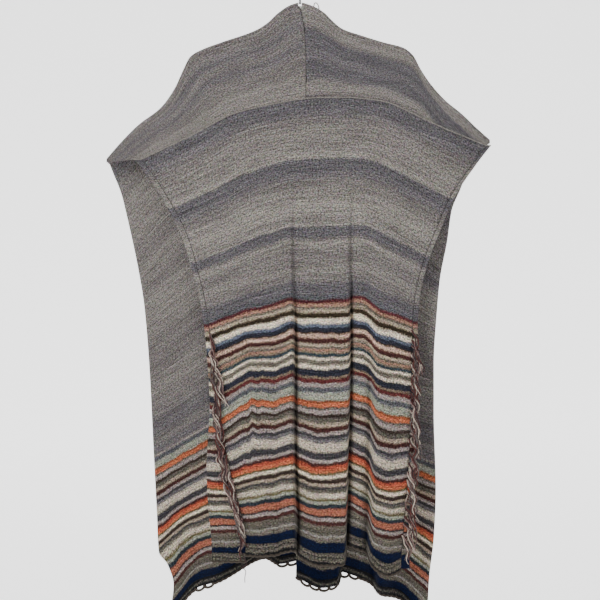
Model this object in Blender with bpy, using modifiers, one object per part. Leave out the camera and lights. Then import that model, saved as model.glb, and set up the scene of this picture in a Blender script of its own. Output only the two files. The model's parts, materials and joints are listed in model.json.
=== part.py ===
"""Open-front poncho of striped knit, seen from behind as it hangs on a tubular hanger.

Metres, +Z up. The origin is the hook's seat. The back of the poncho faces -Y and its two
fronts hang behind it at +Y, open at the sides, at the hem and down the middle of the front.
Tables are in millimetres: "x" is to the right of the hook, "drop" is down from the cloth's
highest point at the neck, and "out" is away from the hanger's plane.
"""
import math
from functools import lru_cache, partial

import bmesh
import bpy
import numpy as np
from mathutils import Vector

MM = 0.001

# Driving sizes
WALL = 2.0 * MM               # knitted cloth
SEAM_GAP = 0.3 * MM           # between pieces that are sewn together
YOKE_GAP = 0.8 * MM           # along the curved yoke seam; its chords come within 0.3 mm
NECK_DROP = 75 * MM           # from the hook's seat down to the top of the cloth
TUBE_RADIUS = 5.0 * MM        # hanger frame
BAR_DROP = 162 * MM           # lower bar of the hanger, below the cloth's top
BAR_HALF_WIDTH = 212 * MM
HOOK_WIRE_RADIUS = 2.2 * MM
HOOK_RADIUS = 20 * MM
HOOK_STEM = 14 * MM           # straight wire above the frame
HOOK_SWEEP = 250              # degrees
HOOK_STEPS = 18
ARM_XS = (8, 22, 36, 50, 64, 78, 95, 120, 145, 170)   # mm from the middle, on both arms
ARM_ENDS = (-192, 196)
BEND_BULGE = 11 * MM          # how far the hanger's round ends swell past its arms
BEND_STEPS = 6
HANGER_GAP = 1.2 * MM         # under the cloth's fold, whose facets come within 0.3 mm
FOLD_RADIUS = TUBE_RADIUS + HANGER_GAP + WALL / 2     # of the cloth over the hanger
SPREAD_LENGTH = 80 * MM       # below the shoulder fold, the cloth leaves the hanger
NECK_LOOP_FEET = (27, 37)     # mm from the middle, on the sloping fold
NECK_LOOP_RISE = 9 * MM
NECK_LOOP_RADIUS = 1.0 * MM
NECK_LOOP_LIFT = 0.4 * MM     # keeps the flat ends clear of the slope
NECK_LOOP_STEPS = 8
EDGING_GAP = 1.6 * MM         # under a panel; the folds' tilted edges come within 0.3 mm
EDGING_STRIP = 15 * MM        # crocheted strip below a panel
LOOP_HEIGHT = 5.5 * MM        # open loops below the strip
LOOP_SIDE = 0.6               # height of a loop's sides, as a share of its middle
LOOP_YARN = 2.4 * MM
FRINGE_STRIP_WIDTH = 3.0 * MM
FRINGE_STRIP_THICKNESS = 1.0 * MM
FRINGE_GAP = 0.8 * MM         # at the seam; the tilted cloth comes closer beside it
FRINGE_YARN = 1.5 * MM
FRINGE_LENGTH = 84 * MM
FRINGE_LANES = 5
FRINGE_STRANDS = 32           # on each side
FRINGE_ROOT = 2.1 * MM        # height of a strand's root on its strip
FRINGE_STRIP_SHIFT = 0.4      # towards the band, as a share of the strip's width

# Shoulder fold, seen as the top of the outline
SHOULDER = [
    # x, drop
    (-376, 304), (-349, 273), (-314, 238), (-269, 203), (-242, 164), (-226, 129), (-213, 105),
    (-189, 91), (-154, 78), (-84, 53), (-62, 39), (-43, 21), (-16, 4), (0, 0), (25, 7),
    (47, 20), (62, 35), (82, 51), (119, 64), (164, 78), (201, 88), (220, 103), (234, 129),
    (252, 156), (281, 189), (316, 218), (343, 244), (369, 267),
]

# Outer edges of the two fronts, from the wing tips down
LEFT_FRONT_EDGE = [
    # drop, x
    (304, -376), (333, -365), (369, -351), (417, -339), (466, -328), (526, -316), (589, -306),
    (708, -296), (887, -287), (1000, -281), (1074, -277), (1098, -260), (1139, -248), (1188, -254),
]
RIGHT_FRONT_EDGE = [
    # drop, x
    (267, 369), (289, 355), (308, 339), (328, 328), (363, 314), (402, 298), (464, 289),
    (538, 275), (603, 269), (704, 263), (803, 263), (952, 267), (1047, 263), (1125, 254), (1203, 250),
]

# Inner edges of the fronts: the neck opening, which narrows to the hem
NECK_EDGE = [
    # drop, middle, half width
    (0, 0, 3.2), (40, 0, 22), (110, 0, 38), (250, 0, 44), (500, -1, 38), (800, -3, 20), (1110, -6, 1.5),
]

# Side edges of the back panel, where the bands are sewn on
BACK_EDGES = [
    # share of the length, left x, right x
    (0.0, -308, 363), (0.05, -281, 333), (0.13, -246, 292), (0.21, -218, 265), (0.31, -197, 236),
    (0.39, -183, 222), (0.45, -176, 218), (0.67, -154, 214), (0.81, -135, 208), (0.97, -107, 197),
    (1.0, -105, 195),
]

# Lengthwise lines of the back panel. Each is a crest, a valley or an edge of a hanging fold.
# Places along a line are the yoke seam, where the stripes start, the middle and lower orange
# stripes, the top of the navy border, and the end of the knitting.
BACK_SHARES = (0.0, 0.4514, 0.6721, 0.812, 0.9713, 1.0)
BACK_LINES = [
    # name, x at yoke, stripes, end, drops at the six places, out at stripes, out at end
    ("left edge", -308, -176, -105, (306, 630, 813, 913, 1030, 1051), 0, -3),
    ("left crest", -214, -98, -74, (261, 600, 774, 897, 1028, 1050), 5, 9),
    ("left middle", -121, -55, -45, (214, 592, 776, 893, 1025, 1048), 5, 5),
    ("fold a lip", -27, -17, -13, (193, 580, 763, 883, 1016, 1039), 7, 10),
    ("fold a valley", -16, -10, -4, (191, 582, 770, 889, 1028, 1051), -3, -8),
    ("centre", 43, 39, 39, (185, 584, 778, 902, 1042, 1068), 4, 7),
    ("fold b lip", 98, 93, 85, (185, 580, 774, 899, 1040, 1067), 6, 9),
    ("fold b valley", 109, 99, 93, (186, 577, 760, 879, 1008, 1032), -3, -8),
    ("crest b to c", 140, 119, 113, (189, 578, 765, 887, 1016, 1038), 4, 4),
    ("fold c lip", 172, 136, 130, (195, 586, 775, 903, 1025, 1045), 2, -4),
    ("fold c foot", 187, 150, 142, (201, 596, 796, 926, 1051, 1071), 7, 10),
    ("right middle", 273, 185, 172, (242, 610, 808, 936, 1063, 1088), 6, 8),
    ("right edge", 363, 218, 197, (279, 625, 809, 932, 1059, 1080), 0, -2),
]

# Lengthwise lines of the fronts, from the outer edge to the neck edge
FRONT_SHARES = (0.0, 0.68, 1.0)
LEFT_FRONT_LINES = [
    # name, x at yoke seam, fold, stripes, end, drop at stripes, end, out at stripes, end
    ("outer edge", -308, -376, -287, -254, 887, 1188, -2, -6),
    ("outer crest", -254, -314, -230, -209, 854, 1137, 8, 12),
    ("outer valley", -195, -250, -174, -158, 821, 1115, -2, -8),
    ("middle crest", -140, -211, -125, -98, 800, 1082, 9, 13),
    ("middle valley", -88, -148, -82, -70, 788, 1069, -4, -8),
    ("inner crest", -39, -74, -45, -43, 780, 1086, 7, 9),
    ("neck edge", 11.55, -0.15, -29, -8, 774, 1078, 0, -2),
]
RIGHT_FRONT_LINES = [
    # name, x at yoke seam, fold, stripes, end, drop at stripes, end, out at stripes, end
    ("outer edge", 363, 369, 265, 250, 899, 1203, 0, -3),
    ("outer crest", 322, 302, 230, 195, 887, 1152, 8, 11),
    ("outer valley", 273, 244, 199, 158, 856, 1141, -2, -7),
    ("crest c", 234, 201, 176, 144, 833, 1125, 6, 9),
    ("valley c", 195, 168, 146, 117, 809, 1109, -3, -7),
    ("crest b", 146, 129, 117, 85, 796, 1102, 7, 10),
    ("foot b", 117, 101, 101, 73, 792, 1125, 2, -4),
    ("inner crest", 74, 66, 68, 42, 787, 1133, 6, 8),
    ("neck edge", 11.85, 0.15, 27, -5, 778, 1110, 0, -2),
]
FRONTS = {-1: (LEFT_FRONT_LINES, LEFT_FRONT_EDGE), 1: (RIGHT_FRONT_LINES, RIGHT_FRONT_EDGE)}
PANEL_LENGTH = 0.865          # of the back panel, along its middle
PANEL_WIDTH = 0.34            # of the striped part

# How far the cloth stands from the hanger's plane
BACK_OUT = [
    # drop, out
    (0, 7.3), (120, 6.6), (150, 6.9), (162, 7.8), (174, 7.2), (200, 7.6), (330, 12), (580, 17), (1200, 23),
]
FRONT_OUT = [
    # drop, out
    (0, 7.3), (162, 7.8), (250, 12), (450, 17), (800, 20), (1250, 25),
]

# Outer edges of the side bands
LEFT_BAND_WIDTHS = [
    # share of the length, width
    (0.0, 13), (0.2, 12), (0.45, 10), (0.6, 14), (0.81, 46), (0.97, 66), (1.0, 66),
]
RIGHT_BAND_WIDTHS = [
    # share of the length, width
    (0.0, 8), (0.2, 9), (0.45, 10), (0.67, 12), (1.0, 17),
]
BAND_LEAN = 4 * MM            # of the outer edge, back towards the fronts
BAND_LEAN_SHARE = 0.3         # of the length, over which the lean grows
BAND_GAP = 0.9 * MM           # at the surface; the tilted edges come within 0.3 mm
BAND_PAST_END = 0.022         # share of the length that the bands hang below the panel

# Yarn ends: how far down, how far over to its lane, and how far out from its strip. Ends in one
# lane start 68 mm apart and slope outwards, so that none runs into another.
STRAND_PATH = [
    # down, lane share, out
    (0, 0.0, 1.6), (3.5, 1.0, 1.7), (9, 1.0, 3.6), (45, 1.0, 4.7), (84, 1.0, 5.8),
]
FRINGE_SHARES = (0.463, 0.955)    # first and last root, as shares of the panel's length
FRINGE_LANE_PITCH = 2.4 * MM

# Steps of the grids
CELLS_PER_LOOP = 3            # one post and two open cells
BACK_COLUMNS = (4, 3, 3, 1, 3, 3, 1, 2, 2, 1, 3, 3)
FRONT_COLUMNS = {-1: (3, 3, 3, 3, 3, 3), 1: (3, 3, 2, 2, 2, 2, 2, 3)}
YOKE_ROWS = (0.0, 0.22, 0.44, 0.65, 0.82, 0.94)
FOLD_STEPS = 4
NOTCH_ACROSS, NOTCH_UP = 8, 16    # powers that keep the notch for the hook in its corner
SEAM_FAN = 3                  # how late the centre seam's end of the yoke swings to the hook

FINISHES = {
    # name: colour, roughness, metallic
    "grey wool": ((0.24, 0.22, 0.21, 1), 0.95, 0.0),
    "striped wool": ((0.32, 0.26, 0.22, 1), 0.95, 0.0),
    "edging yarn": ((0.10, 0.09, 0.08, 1), 0.95, 0.0),
    "fringe yarn": ((0.52, 0.42, 0.38, 1), 0.95, 0.0),
    "hanger plastic": ((0.80, 0.79, 0.76, 1), 0.4, 0.0),
    "hook wire": ((0.62, 0.62, 0.62, 1), 0.3, 1.0),
}


def start_scene():
    """Empty the scene and give a collection for the pieces."""
    for item in list(bpy.data.objects):
        bpy.data.objects.remove(item, do_unlink=True)
    collection = bpy.data.collections.new("poncho_on_hanger")
    bpy.context.scene.collection.children.link(collection)
    return collection


def finish_named(name):
    """A Principled material from the table of finishes."""
    material = bpy.data.materials.get(name)
    if material is None:
        colour, roughness, metallic = FINISHES[name]
        material = bpy.data.materials.new(name)
        material.use_nodes = True
        shader = material.node_tree.nodes["Principled BSDF"]
        shader.inputs["Base Color"].default_value = colour
        shader.inputs["Roughness"].default_value = roughness
        shader.inputs["Metallic"].default_value = metallic
    return material


def curve_through(places, values):
    """A smooth curve through a table's points that never swings past them."""
    places = np.asarray(places, float)
    values = np.asarray(values, float)
    spans = np.diff(places)
    slopes = np.diff(values) / spans
    tangents = np.zeros(len(places))
    tangents[0], tangents[-1] = slopes[0], slopes[-1]
    for i in range(1, len(places) - 1):
        if slopes[i - 1] * slopes[i] > 0:
            w1 = 2 * spans[i] + spans[i - 1]
            w2 = spans[i] + 2 * spans[i - 1]
            tangents[i] = (w1 + w2) / (w1 / slopes[i - 1] + w2 / slopes[i])

    def value(at):
        at = min(max(at, places[0]), places[-1])
        i = int(min(np.searchsorted(places, at, side="right") - 1, len(spans) - 1))
        t = (at - places[i]) / spans[i]
        return float(
            values[i] * (1 + 2 * t) * (1 - t) ** 2
            + values[i + 1] * t * t * (3 - 2 * t)
            + tangents[i] * spans[i] * t * (1 - t) ** 2
            - tangents[i + 1] * spans[i] * t * t * (1 - t)
        )

    return value


def column_curve(table, column=1):
    """A table's column as a smooth curve over its first column."""
    return curve_through([row[0] for row in table], [row[column] for row in table])


def ease(t):
    """From 0 to 1 with level ends."""
    t = min(max(t, 0.0), 1.0)
    return t * t * (3 - 2 * t)


shoulder_drop = column_curve(SHOULDER)
yoke_drop = curve_through([row[1] for row in BACK_LINES], [row[4][0] for row in BACK_LINES])
back_out = column_curve(BACK_OUT)
front_out = column_curve(FRONT_OUT)
back_left_x = column_curve(BACK_EDGES, 1)
back_right_x = column_curve(BACK_EDGES, 2)
neck_middle = column_curve(NECK_EDGE, 1)
neck_half_width = column_curve(NECK_EDGE, 2)
strand_out = column_curve(STRAND_PATH, 2)
back_line_drops = [curve_through(BACK_SHARES, row[4]) for row in BACK_LINES]
seam_share = {
    sign: curve_through(BACK_LINES[edge][4], BACK_SHARES) for sign, edge in ((-1, 0), (1, -1))
}


def cloth_out(profile, x, drop):
    """Cloth leaves the fold's radius and reaches the profile some way below the shoulder."""
    below = (drop - shoulder_drop(x)) * MM / SPREAD_LENGTH
    folded = FOLD_RADIUS / MM
    return folded + (profile(drop) - folded) * ease(below)


def place(x, drop, out, side):
    """A point in metres; side is -1 on the back of the poncho and 1 on its fronts."""
    return Vector((x * MM, side * out * MM, -NECK_DROP - drop * MM))


def stations(lines):
    """Places of the lines across a panel, evenly numbered from 0 to 1."""
    return [i / (len(lines) - 1) for i in range(len(lines))]


def fold_growth(share, at_stripes, out_stripes, out_end):
    """A hanging fold starts flat, has one depth where the stripes start and another at the end."""
    start = ease(share / at_stripes)
    end = ease((share - at_stripes) / (1 - at_stripes))
    return start * (out_stripes + (out_end - out_stripes) * end)


@lru_cache(maxsize=None)
def back_row(share):
    """Curves across the back panel at a share of its length: x, drop and fold."""
    left, right = back_left_x(share), back_right_x(share)
    shares = (BACK_SHARES[0], BACK_SHARES[1], BACK_SHARES[-1])
    fractions = []
    for line in BACK_LINES:
        spots = [
            (line[at] - BACK_LINES[0][at]) / (BACK_LINES[-1][at] - BACK_LINES[0][at]) for at in (1, 2, 3)
        ]
        fractions.append(curve_through(shares, spots)(share))
    at = stations(BACK_LINES)
    folds = [fold_growth(share, BACK_SHARES[1], line[5], line[6]) for line in BACK_LINES]
    return (
        curve_through(at, [left + (right - left) * fraction for fraction in fractions]),
        curve_through(at, [line_drop(share) for line_drop in back_line_drops]),
        curve_through(at, folds),
    )


def back_point(across, share):
    """A point of the back panel, from its left to its right edge and down its length."""
    row_x, row_drop, row_fold = back_row(share)
    x, drop = row_x(across), row_drop(across)
    return place(x, drop, cloth_out(back_out, x, drop) + row_fold(across), -1)


def band_point(sign, width_at, across, share):
    """A point of a side band, from the back panel's edge outwards, and past the panel's end."""
    edge = back_point(0.0 if sign < 0 else 1.0, min(share, 1.0))
    width = width_at(share) * MM
    step = (BAND_GAP + (width - BAND_GAP) * across) * sign
    past_end = max(share - 1.0, 0.0) * PANEL_LENGTH
    lean = BAND_LEAN * across * ease(share / BAND_LEAN_SHARE)
    return edge + Vector((step, lean, -past_end))


@lru_cache(maxsize=None)
def front_row(sign, share):
    """Curves across a front below its shoulder fold: x, drop and fold."""
    lines, edge = FRONTS[sign]
    drops, folds, fractions = [], [], []
    for line in lines:
        drop_fold = shoulder_drop(line[2]) + FOLD_RADIUS / MM
        drops.append(curve_through(FRONT_SHARES, (drop_fold, line[5], line[6]))(share))
        spots = [(line[at] - lines[0][at]) / (lines[-1][at] - lines[0][at]) for at in (2, 3, 4)]
        fractions.append(curve_through(FRONT_SHARES, spots)(share))
        folds.append(fold_growth(share, FRONT_SHARES[1], line[7], line[8]))
    outer, neck = lines[0][2], sign * neck_half_width(0)
    if share > 0:
        outer = column_curve(edge)(drops[0])
        neck = neck_middle(drops[-1]) + sign * neck_half_width(drops[-1])
    at = stations(lines)
    return (
        curve_through(at, [outer + (neck - outer) * fraction for fraction in fractions]),
        curve_through(at, drops),
        curve_through(at, folds),
    )


def front_point(sign, across, share):
    """A point of a front, from its outer to its neck edge and down from the fold to its end."""
    row_x, row_drop, row_fold = front_row(sign, share)
    x, drop = row_x(across), row_drop(across)
    return place(x, drop, cloth_out(front_out, x, drop) + row_fold(across), 1)


@lru_cache(maxsize=None)
def front_tops(sign):
    """Curves across a front's upper end: x at the yoke seam and at the shoulder fold."""
    lines = FRONTS[sign][0]
    at = stations(lines)
    return curve_through(at, [line[1] for line in lines]), curve_through(at, [line[2] for line in lines])


def hook_notch(sign, across, share):
    """At the very top, the two neck edges part to let the hook through."""
    return sign * neck_half_width(0) * across ** NOTCH_ACROSS * share ** NOTCH_UP


def yoke_point(sign, across, share):
    """A point of a front's upper end on the back: from the yoke seam (0) up to the fold (1)."""
    seam_x, fold_x = front_tops(sign)
    low_x, high_x = seam_x(across), fold_x(across)
    rise = share ** (1 + SEAM_FAN * across ** 3)
    x = low_x + (high_x - low_x) * rise + hook_notch(sign, across, share)
    low = yoke_drop(low_x) - YOKE_GAP / MM
    high = shoulder_drop(high_x) + FOLD_RADIUS / MM
    drop = low + (high - low) * share
    return place(x, drop, cloth_out(back_out, x, drop), -1)


def fold_point(sign, across, share):
    """A point of the turn over the shoulder, from the back (0) to the front (1)."""
    x = front_tops(sign)[1](across) + hook_notch(sign, across, 1.0)
    turn = math.pi * share
    middle = NECK_DROP + shoulder_drop(x) * MM + FOLD_RADIUS
    return Vector((x * MM, -FOLD_RADIUS * math.cos(turn), FOLD_RADIUS * math.sin(turn) - middle))


def sheet_object(collection, name, finish, columns, rows, point_at, is_hole=None):
    """A grid laid on point_at(column, row) and thickened to the cloth's wall."""
    grid = bmesh.new()
    bmesh.ops.create_grid(grid, x_segments=len(columns) - 1, y_segments=len(rows) - 1, size=1.0)
    for vertex in grid.verts:
        i = round((vertex.co.x + 1) / 2 * (len(columns) - 1))
        j = round((vertex.co.y + 1) / 2 * (len(rows) - 1))
        vertex.co = (i, j, 0)
    if is_hole is not None:
        gone = [face for face in grid.faces if is_hole(*face.calc_center_median().xy)]
        bmesh.ops.delete(grid, geom=gone, context="FACES")
    for vertex in grid.verts:
        vertex.co = point_at(columns[round(vertex.co.x)], rows[round(vertex.co.y)])
    mesh = bpy.data.meshes.new(name)
    grid.to_mesh(mesh)
    grid.free()
    mesh.shade_smooth()
    piece = bpy.data.objects.new(name, mesh)
    collection.objects.link(piece)
    wall = piece.modifiers.new("wall", "SOLIDIFY")
    wall.thickness = WALL
    wall.offset = 0.0
    piece.data.materials.append(finish_named(finish))


def spaced(stops, counts):
    """Shares between stops, each span cut into its count of steps."""
    shares = [stops[0]]
    for low, high, count in zip(stops, stops[1:], counts):
        shares += [low + (high - low) * (i + 1) / count for i in range(count)]
    return shares


BACK_ROWS = spaced((0.0, 0.012, 0.45, 1.0), (1, 9, 13))


def add_back(collection):
    columns = spaced(stations(BACK_LINES), BACK_COLUMNS)
    sheet_object(collection, "back_panel", "striped wool", columns, BACK_ROWS, back_point)


def add_bands(collection):
    rows = BACK_ROWS[1:] + [1.0 + BAND_PAST_END]
    for sign, name, widths in (
        (-1, "back_band_left", LEFT_BAND_WIDTHS),
        (1, "back_band_right", RIGHT_BAND_WIDTHS),
    ):
        at = partial(band_point, sign, column_curve(widths))
        sheet_object(collection, name, "striped wool", (0.0, 0.5, 1.0), rows, at)


def front_path_point(sign, across, place_along):
    """A point of a whole front: up the yoke, over the fold and down to the end of the knitting."""
    leg, share = place_along
    return {"yoke": yoke_point, "fold": fold_point, "front": front_point}[leg](sign, across, share)


def add_fronts(collection):
    yoke = [("yoke", share) for share in YOKE_ROWS]
    fold = [("fold", i / FOLD_STEPS) for i in range(FOLD_STEPS + 1)]
    front = [("front", share) for share in spaced((0.0, 0.12, 0.68, 1.0), (4, 9, 8))[1:]]
    for sign, name in ((-1, "front_left_panel"), (1, "front_right_panel")):
        columns = spaced(stations(FRONTS[sign][0]), FRONT_COLUMNS[sign])
        at = partial(front_path_point, sign)
        sheet_object(collection, name, "grey wool", columns, yoke + fold + front, at)


def add_edging(collection, name, ends, cuts):
    """A crocheted strip under a panel's end, with a row of open scalloped loops."""
    tops = [
        low.lerp(high, cut / cuts) for low, high in zip(ends, ends[1:]) for cut in range(cuts)
    ] + [ends[-1]]
    last_post = (len(tops) - 2) // CELLS_PER_LOOP * CELLS_PER_LOOP

    def at(column, row):
        bulge = 1.0 if column % CELLS_PER_LOOP == 2 else LOOP_SIDE
        depth = {
            "seam": EDGING_GAP,
            "strip": EDGING_STRIP,
            "loop": EDGING_STRIP + LOOP_HEIGHT * bulge,
            "end": EDGING_STRIP + LOOP_HEIGHT * bulge + LOOP_YARN,
        }[row]
        return tops[column] + Vector((0, 0, -depth))

    def is_hole(column, row):
        return 1 < row < 2 and column < last_post and int(column) % CELLS_PER_LOOP != 0

    rows = ("seam", "strip", "loop", "end")
    sheet_object(collection, name, "edging yarn", range(len(tops)), rows, at, is_hole)


def add_edgings(collection):
    back_ends = [back_point(across, 1.0) for across in spaced(stations(BACK_LINES), BACK_COLUMNS)]
    add_edging(collection, "hem_edging_back", back_ends, 2)
    band_width = column_curve(LEFT_BAND_WIDTHS)
    band_ends = [band_point(-1, band_width, across, 1.0 + BAND_PAST_END) for across in (1.0, 0.5, 0.0)]
    add_edging(collection, "hem_edging_band", band_ends, 5)
    for sign, name in ((-1, "hem_edging_front_left"), (1, "hem_edging_front_right")):
        columns = spaced(stations(FRONTS[sign][0]), FRONT_COLUMNS[sign])
        add_edging(collection, name, [front_point(sign, across, 1.0) for across in columns], 2)


def add_fringe(collection, name, sign):
    """Yarn ends down one side of the striped part, fused to a strip over the band's seam."""
    seam_at = partial(back_point, 0.0 if sign < 0 else 1.0)
    clear = WALL / 2 + FRINGE_GAP
    steps = [
        FRINGE_SHARES[0] + (FRINGE_SHARES[1] - FRINGE_SHARES[0]) * i / (FRINGE_STRANDS - 1)
        for i in range(FRINGE_STRANDS)
    ]
    shares = [share for step in steps for share in (step, step + FRINGE_ROOT / PANEL_LENGTH)]

    strip = bmesh.new()
    bmesh.ops.create_cube(strip, size=1.0)
    upright = [edge for edge in strip.edges if abs(edge.verts[0].co.z - edge.verts[1].co.z) > 0.5]
    bmesh.ops.subdivide_edges(strip, edges=upright, cuts=len(shares) - 2, use_grid_fill=True)
    roots = {}
    for face in strip.faces:
        step = (0.5 - face.calc_center_median().z) * (len(shares) - 1)
        if face.normal.y < -0.9 and int(step) % 2 == 0:
            roots[int(step) // 2] = face
    for vertex in strip.verts:
        seam = seam_at(shares[round((0.5 - vertex.co.z) * (len(shares) - 1))])
        depth = clear if vertex.co.y > 0 else clear + FRINGE_STRIP_THICKNESS
        beside = (vertex.co.x + sign * FRINGE_STRIP_SHIFT) * FRINGE_STRIP_WIDTH
        vertex.co = (seam.x + beside, seam.y - depth, seam.z)
    for i in range(FRINGE_STRANDS):
        grow_strand(strip, roots[i], i, sign, steps[i])
    mesh = bpy.data.meshes.new(name)
    strip.to_mesh(mesh)
    strip.free()
    piece = bpy.data.objects.new(name, mesh)
    collection.objects.link(piece)
    piece.data.materials.append(finish_named("fringe yarn"))


def grow_strand(strip, face, number, sign, share):
    """Pull one yarn end out of the strip, turn it down and let it hang in its lane."""
    half = FRINGE_YARN / 2
    edge = 0.0 if sign < 0 else 1.0
    lane = ((number * 2) % FRINGE_LANES - (FRINGE_LANES - 1) / 2) * FRINGE_LANE_PITCH
    length = FRINGE_LENGTH * (0.7 + 0.3 * math.sin(2.4 * number + sign) ** 2)
    root = face.calc_center_median()
    beside = root.x - back_point(edge, share).x
    off_cloth = WALL / 2 + FRINGE_GAP + FRINGE_STRIP_THICKNESS
    for reach, lane_share, _ in STRAND_PATH:
        down = min(reach * MM, length)
        below = seam_share[sign]((down - root.z - NECK_DROP) / MM)
        inward = max(-lane * sign * lane_share + FRINGE_YARN, 0.0)
        cloth = back_point(edge - sign * inward / PANEL_WIDTH, below)
        middle = Vector(
            (
                back_point(edge, below).x + beside + lane * lane_share,
                cloth.y - off_cloth - strand_out(down / MM) * MM,
                root.z - down,
            )
        )
        face = bmesh.ops.extrude_discrete_faces(strip, faces=[face])["faces"][0]
        centre = face.calc_center_median()
        for vertex in face.verts:
            right = math.copysign(half, vertex.co.x - centre.x)
            if down == 0:
                up = math.copysign(half, vertex.co.z - centre.z)
                vertex.co = middle + Vector((right, 0, up))
            else:
                up, out = vertex.co.z - centre.z, centre.y - vertex.co.y
                vertex.co = middle + Vector((right, -math.copysign(half, up + out), 0))


def tube(collection, name, points, radius, finish, closed=False, resolution=2):
    """A round rod along a list of points."""
    curve = bpy.data.curves.new(name, "CURVE")
    curve.dimensions = "3D"
    spline = curve.splines.new("POLY")
    spline.points.add(len(points) - 1)
    for target, point in zip(spline.points, points):
        target.co = (*point, 1)
    spline.use_cyclic_u = closed
    curve.bevel_depth = radius
    curve.bevel_resolution = resolution
    curve.use_fill_caps = not closed
    piece = bpy.data.objects.new(name, curve)
    collection.objects.link(piece)
    curve.materials.append(finish_named(finish))
    return piece


def arm_point(x):
    """The hanger's arm, seated under the cloth's fold."""
    slope = (shoulder_drop(x + 4) - shoulder_drop(x - 4)) / 8
    under = (FOLD_RADIUS + SEAM_GAP) * math.sqrt(1 + slope * slope) + SEAM_GAP
    return Vector((x * MM, 0, -NECK_DROP - shoulder_drop(x) * MM - under))


def bend_points(sign, top):
    """The round end of the hanger, from an arm's end down to the bar."""
    bar = -NECK_DROP - BAR_DROP
    points = []
    for step in range(1, BEND_STEPS + 1):
        turn = math.pi * step / BEND_STEPS
        reach = abs(top.x) + (BAR_HALF_WIDTH - abs(top.x)) * step / BEND_STEPS
        reach += BEND_BULGE * math.sin(turn)
        points.append(Vector((sign * reach, 0, (top.z + bar) / 2 + (top.z - bar) / 2 * math.cos(turn))))
    return points


def add_hanger(collection):
    left = [arm_point(x) for x in (ARM_ENDS[0],) + tuple(-x for x in ARM_XS[::-1])]
    right = [arm_point(x) for x in ARM_XS + (ARM_ENDS[1],)]
    loop = left + right + bend_points(1, right[-1]) + bend_points(-1, left[0])[::-1]
    tube(collection, "hanger_frame", loop, TUBE_RADIUS, "hanger plastic", closed=True)

    apex = arm_point(0).z + TUBE_RADIUS
    ring = HOOK_RADIUS + HOOK_WIRE_RADIUS
    wire = [Vector((0, 0, apex + SEAM_GAP)), Vector((0, 0, apex + HOOK_STEM))]
    for step in range(HOOK_STEPS + 1):
        turn = math.radians(-90 - HOOK_SWEEP * step / HOOK_STEPS)
        wire.append(Vector((ring * math.cos(turn), 0, ring * math.sin(turn) - HOOK_RADIUS)))
    tube(collection, "hanger_hook", wire, HOOK_WIRE_RADIUS, "hook wire")


def add_neck_loop(collection):
    """A small loop of yarn on the shoulder fold beside the hook."""
    left, right = NECK_LOOP_FEET
    points = []
    for step in range(NECK_LOOP_STEPS + 1):
        turn = math.pi * step / NECK_LOOP_STEPS
        x = (left + right) / 2 - (right - left) / 2 * math.cos(turn)
        foot = -NECK_DROP - shoulder_drop(x) * MM + WALL / 2 + SEAM_GAP + NECK_LOOP_LIFT
        points.append(Vector((x * MM, 0, foot + NECK_LOOP_RISE * math.sin(turn))))
    tube(collection, "neck_loop", points, NECK_LOOP_RADIUS, "edging yarn", resolution=1)


def build():
    collection = start_scene()
    add_back(collection)
    add_bands(collection)
    add_fronts(collection)
    add_edgings(collection)
    add_fringe(collection, "fringe_left", -1)
    add_fringe(collection, "fringe_right", 1)
    add_hanger(collection)
    add_neck_loop(collection)


build()
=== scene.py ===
import json
import math
import random
from functools import lru_cache

import bmesh
import bpy
import numpy as np
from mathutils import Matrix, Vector, noise

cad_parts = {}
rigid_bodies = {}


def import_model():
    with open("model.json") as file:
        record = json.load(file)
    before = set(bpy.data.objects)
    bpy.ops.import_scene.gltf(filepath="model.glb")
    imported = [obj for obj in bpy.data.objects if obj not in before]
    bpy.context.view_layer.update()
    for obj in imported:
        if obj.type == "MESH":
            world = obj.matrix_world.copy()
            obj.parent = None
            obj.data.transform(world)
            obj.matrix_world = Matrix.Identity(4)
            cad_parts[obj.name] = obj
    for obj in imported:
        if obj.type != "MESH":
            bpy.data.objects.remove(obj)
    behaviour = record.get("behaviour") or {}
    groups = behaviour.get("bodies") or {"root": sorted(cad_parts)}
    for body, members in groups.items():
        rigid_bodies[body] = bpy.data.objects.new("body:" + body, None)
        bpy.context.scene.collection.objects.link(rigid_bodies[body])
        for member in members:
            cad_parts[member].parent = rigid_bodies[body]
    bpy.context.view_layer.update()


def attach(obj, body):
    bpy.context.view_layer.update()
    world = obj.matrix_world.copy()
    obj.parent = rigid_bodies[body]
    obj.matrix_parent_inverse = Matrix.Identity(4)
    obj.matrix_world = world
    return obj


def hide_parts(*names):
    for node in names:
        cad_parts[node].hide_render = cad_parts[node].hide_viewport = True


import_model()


# Camera, stage and lights
# The poncho is seen square on from behind, so near that the frame cuts the hook and the lowest
# corners of the fronts. A pale floor sweeps up into a faintly glowing backdrop, far behind it, and
# broad soft light comes from above on the left.
def placed(name, data):
    """A new thing in the scene."""
    thing = bpy.data.objects.new(name, data)
    bpy.context.scene.collection.objects.link(thing)
    return thing


camera = placed("camera", bpy.data.cameras.new("camera"))
camera.data.lens = 80            # mm
camera.data.sensor_width = 36    # mm
camera.location = (0, -2.6, -0.654)
camera.rotation_euler = (math.pi / 2, 0, 0)
bpy.context.scene.camera = camera


def new_finish(name, roughness, sheen=0.0, metallic=0.0, gloss=0.5):
    """An empty Principled finish: its material, node tree and shader."""
    material = bpy.data.materials.new(name)
    material.use_nodes = True
    shader = material.node_tree.nodes["Principled BSDF"]
    shader.inputs["Roughness"].default_value = roughness
    shader.inputs["Metallic"].default_value = metallic
    shader.inputs["Sheen Weight"].default_value = sheen
    shader.inputs["Sheen Roughness"].default_value = 0.5
    shader.inputs["Specular IOR Level"].default_value = gloss
    return material, material.node_tree, shader


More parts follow.
